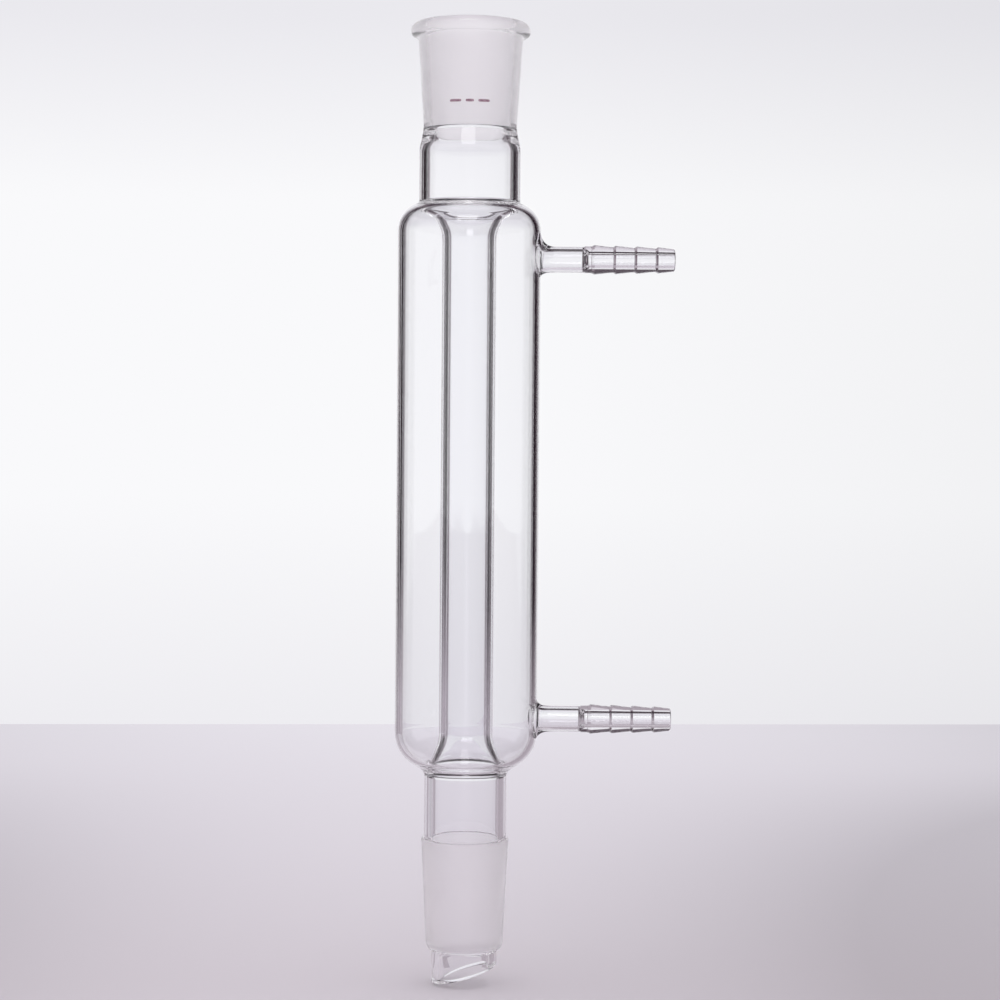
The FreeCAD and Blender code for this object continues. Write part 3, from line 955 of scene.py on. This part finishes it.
@dataclass
class Studio:
    """Pale table, white background, black cards and a soft lamp of a bright-field glass set-up."""

    floor_height: float = -40.4
    floor_back: float = 604.5
    floor_skew: float = 0.064
    floor_side: float = 3000.0
    view_side: float = 8.95
    view_distance: float = 680.0
    eye_height: float = 112.2
    target_height: float = 93.2
    frame_width: float = 274.7
    roll: float = 0.455
    shade_reach: float = 140.0
    shade_shift: float = 0.22
    lamp_place: tuple[float, float, float] = (-60.0, -900.0, 900.0)
    lamp_target: tuple[float, float, float] = (0.0, 0.0, 95.0)
    lamp_size: tuple[float, float] = (620.0, 420.0)
    lamp_power: float = 2.6
    cards: tuple[Card, ...] = (
        Card(111, 125, foot=18, mirrored=True),
        Card(125, 152, foot=540, radius=600, top=700, mirrored=True),
        Card(152, 164),
        Card(196, 215),
        Card(235, 249),
        Card(291, 305),
        Card(325, 344),
        Card(16, 28),
        Card(28, 69, foot=18, mirrored=True),
    )

    def floor(self) -> None:
        """Table top: a flat grid whose far edge lies behind the object, level in the picture."""
        side, share = np.meshgrid(np.linspace(-self.floor_side, self.floor_side, 3), np.linspace(0, 1, 3))
        back = self.floor_back + self.floor_skew * (side - self.view_side)
        depth = -self.floor_side + share * (back + self.floor_side)
        grid = np.stack([side, depth, np.full_like(side, self.floor_height)], axis=-1)
        sheet_object("table_top", grid, self.floor_material())
        log.info("table_top laid")

    def floor_material(self) -> bpy.types.Material:
        """Satin laminate, pale lavender grey, paler towards the back and darker at the near sides.

        Both changes are painted shade, standing in for the fall-off of the light over the table. The share
        lost at the sides grows with the square of the distance from the middle, up to a limit, and fades out
        towards the back of the table.
        """
        made = bpy.data.materials.new("table_satin_laminate_painted_shade")
        tree = fresh_tree(made)
        place = add_node(tree, "ShaderNodeTexCoord")
        parts = add_node(tree, "ShaderNodeSeparateXYZ", None, {"Vector": place.outputs["Object"]})
        # Painted shade: the table is painted paler towards the back.
        depth = map_range(tree, parts.outputs["Y"], (0.0, 0.0), (0.6, 1.0))
        ramp = add_node(tree, "ShaderNodeValToRGB", None, {"Fac": depth})
        set_ramp(ramp, [(0.0, "#D1CBD0"), (0.38, "#D8D4D9"), (0.95, "#E1DFE3")])
        # Painted shade: the table is painted darker towards the near sides, up to a limit.
        side = maths(tree, "MULTIPLY_ADD", parts.outputs["X"], 1 / (self.shade_reach * MM), self.shade_shift)
        square = maths(tree, "MULTIPLY", side, side)
        near = map_range(tree, depth, (0.0, 0.76), (0.8, 0.965), "SMOOTHSTEP")
        kept = maths(tree, "POWER", near, square)
        painted_shade_factor = maths(tree, "MAXIMUM", kept, 0.74)
        toned = add_node(
            tree, "ShaderNodeVectorMath", {"operation": "SCALE"},
            {0: ramp.outputs["Color"], "Scale": painted_shade_factor},
        )
        surface = add_node(
            tree,
            "ShaderNodeBsdfPrincipled",
            None,
            {"Base Color": toned.outputs["Vector"], "Roughness": 0.6, "Specular IOR Level": 0.0},
        )
        add_node(tree, "ShaderNodeOutputMaterial", None, {"Surface": surface.outputs["BSDF"]})
        return made

    def add_cards(self) -> None:
        """Black cards around the glass, seen only in it. They keep no light from the table."""
        mirrored = self.card_material("black_felt_card_painted_tone", True)
        plain = self.card_material("black_felt_side_card_painted_tone", False)
        for number, card in enumerate(self.cards):
            distance = np.array([card.foot, card.radius, card.radius])
            height = np.array([self.floor_height + 1, self.floor_height + 1, card.top])
            angle = np.radians(np.linspace(card.start, card.end, 9))
            grid = np.stack(
                [
                    distance[:, None] * np.cos(angle),
                    distance[:, None] * np.sin(angle),
                    np.repeat(height[:, None], 9, axis=1),
                ],
                axis=-1,
            )
            made = sheet_object(f"black_card_{number}", grid, mirrored if card.mirrored else plain)
            made.visible_camera = False
            made.visible_diffuse = False
            made.visible_shadow = False
        log.info("%d black cards", len(self.cards))

    def card_material(self, name: str, mirrored: bool) -> bpy.types.Material:
        """Black felt on card, whose warm purple black is the tone of the glass's edge lines.

        The card glows with a painted tone, which goes from grey to black with the angle from straight behind
        the object, a painted stand-in for the light around the object. Near the table it is painted grey, a
        painted stand-in for the light from the table. It keeps no light from the matt surfaces. A card for
        another side of the object is only seen straight through the glass, never by reflection in it.

        Args:
            name: name of the material.
            mirrored: whether the glass also mirrors it.

        Returns:
            The material.
        """
        made = bpy.data.materials.new(name)
        tree = fresh_tree(made)
        place = add_node(tree, "ShaderNodeTexCoord")
        parts = add_node(tree, "ShaderNodeSeparateXYZ", None, {"Vector": place.outputs["Object"]})
        side = maths(tree, "ABSOLUTE", parts.outputs["X"])
        angle = maths(tree, "ARCTAN2", side, parts.outputs["Y"])
        depth = map_range(tree, angle, (math.radians(18), 0.0), (math.radians(80), 1.0))
        ramp = add_node(tree, "ShaderNodeValToRGB", None, {"Fac": depth})
        # Painted light: the card's glow goes from grey to black with the angle from straight behind the
        # object.
        set_ramp(ramp, [(0.0, "#C9C1C8"), (0.08, "#75656F"), (0.19, "#2F222B"), (0.5, "#160E14"),
                        (0.62, "#1E141C"), (0.75, "#85767F")])
        # Painted light: the card is painted grey near the table, as if the table lit it.
        low = map_range(tree, parts.outputs["Z"], (45 * MM, 0.0), (-25 * MM, 1.0))
        toned = add_node(
            tree,
            "ShaderNodeMix",
            {"data_type": "RGBA"},
            {0: low, 6: ramp.outputs["Color"], 7: linear("#ABA1AA")},
        )
        glow = add_node(tree, "ShaderNodeEmission", None, {"Color": toned.outputs[2], "Strength": 1.0})
        away = add_node(tree, "ShaderNodeBsdfTransparent")
        path = add_node(tree, "ShaderNodeLightPath")
        rough = maths(tree, "SUBTRACT", 1.0, path.outputs["Is Singular Ray"])
        bounced = maths(tree, "ADD", path.outputs["Diffuse Depth"], rough)
        if not mirrored:
            bounced = maths(tree, "ADD", bounced, path.outputs["Glossy Depth"])
        both = add_node(
            tree,
            "ShaderNodeMixShader",
            None,
            {0: bounced, 1: glow.outputs["Emission"], 2: away.outputs["BSDF"]},
        )
        add_node(tree, "ShaderNodeOutputMaterial", None, {"Surface": both.outputs["Shader"]})
        return made

    def world(self) -> None:
        """White background with the photograph's slight fall-off, and a dark gap below the light overhead.

        What matt surfaces scatter, and what is seen through ground glass, is lit evenly from all around.
        """
        world = bpy.data.worlds.new("white_studio")
        bpy.context.scene.world = world
        tree = fresh_tree(world)
        place = add_node(tree, "ShaderNodeTexCoord")
        parts = add_node(tree, "ShaderNodeSeparateXYZ", None, {"Vector": place.outputs["Generated"]})
        height = map_range(tree, parts.outputs["Z"], (-0.2, 0.0), (1.0, 1.0))
        ramp = add_node(tree, "ShaderNodeValToRGB", None, {"Fac": height})
        set_ramp(ramp, [(0.071, "#EEEDF1"), (0.143, "#F9F9FB"), (0.244, "#F9F9FB"), (0.303, "#EAE9EE"),
                        (0.545, "#F2F0F5"), (0.605, "#4E3E4A"), (0.930, "#241922"), (0.965, "#F6F5F8")])
        side = map_range(tree, parts.outputs["X"], (0.0, 1.0), (0.2, 0.935))
        path = add_node(tree, "ShaderNodeLightPath")
        seen = add_node(
            tree, "ShaderNodeBackground", None, {"Color": ramp.outputs["Color"], "Strength": side}
        )
        power = map_range(tree, path.outputs["Diffuse Depth"], (0.0, 0.99), (1.0, 1.15))
        soft = add_node(
            tree, "ShaderNodeBackground", None, {"Color": linear("#F6F4F8"), "Strength": power}
        )
        sharp = maths(tree, "ADD", path.outputs["Is Camera Ray"], path.outputs["Is Singular Ray"])
        matt = maths(tree, "MAXIMUM", maths(tree, "SUBTRACT", 1.0, sharp), 0.0)
        scattered = maths(tree, "ADD", matt, path.outputs["Diffuse Depth"])
        both = add_node(
            tree,
            "ShaderNodeMixShader",
            None,
            {0: scattered, 1: seen.outputs["Background"], 2: soft.outputs["Background"]},
        )
        add_node(tree, "ShaderNodeOutputWorld", None, {"Surface": both.outputs["Shader"]})

    def lamp(self) -> None:
        """Soft lamp that faces the middle of the object, for highlights on polished glass."""
        data = bpy.data.lights.new("soft_overhead", "AREA")
        data.shape = "RECTANGLE"
        data.size = self.lamp_size[0] * MM
        data.size_y = self.lamp_size[1] * MM
        data.energy = self.lamp_power
        lamp = placed("soft_overhead", data)
        lamp.location = Vector(self.lamp_place) * MM
        lamp.visible_diffuse = False
        target = Vector(self.lamp_target) * MM
        lamp.rotation_mode = "QUATERNION"
        lamp.rotation_quaternion = (target - lamp.location).to_track_quat("-Z", "Y")

    def camera(self) -> None:
        """Camera at the photograph's place, in front of the object and a little above its middle."""
        eye = Vector((self.view_side, -self.view_distance, self.eye_height))
        target = Vector((self.view_side, 0.0, self.target_height))
        data = bpy.data.cameras.new("camera")
        data.sensor_width = 36.0
        data.lens = 36.0 * (target - eye).length / self.frame_width
        data.clip_end = 20.0
        camera = placed("camera", data)
        turn = (target - eye).to_track_quat("-Z", "Y").to_matrix().to_4x4()
        roll = Matrix.Rotation(math.radians(self.roll), 4, "Z")
        camera.matrix_world = Matrix.Translation(eye * MM) @ turn @ roll
        bpy.context.scene.camera = camera

    def build(self) -> None:
        """Sets up the whole studio."""
        self.floor()
        self.add_cards()
        self.world()
        self.lamp()
        self.camera()
        scene = bpy.context.scene
        scene.view_settings.view_transform = "Standard"
        scene.cycles.max_bounces = 32
        scene.cycles.transmission_bounces = 32
        scene.cycles.glossy_bounces = 16


def main() -> None:
    logging.basicConfig(level=logging.INFO, format="%(name)s: %(message)s")
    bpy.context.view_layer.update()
    body = GlassBody()
    tooled = ClearBorosilicate("borosilicate_tooled", 0.06)
    body.build([ClearBorosilicate().material(), GroundBorosilicate().material(), tooled.material()])
    PlainMark().build(body, FiredInk().material())
    Studio().build()


if __name__ == "__main__":
    main()
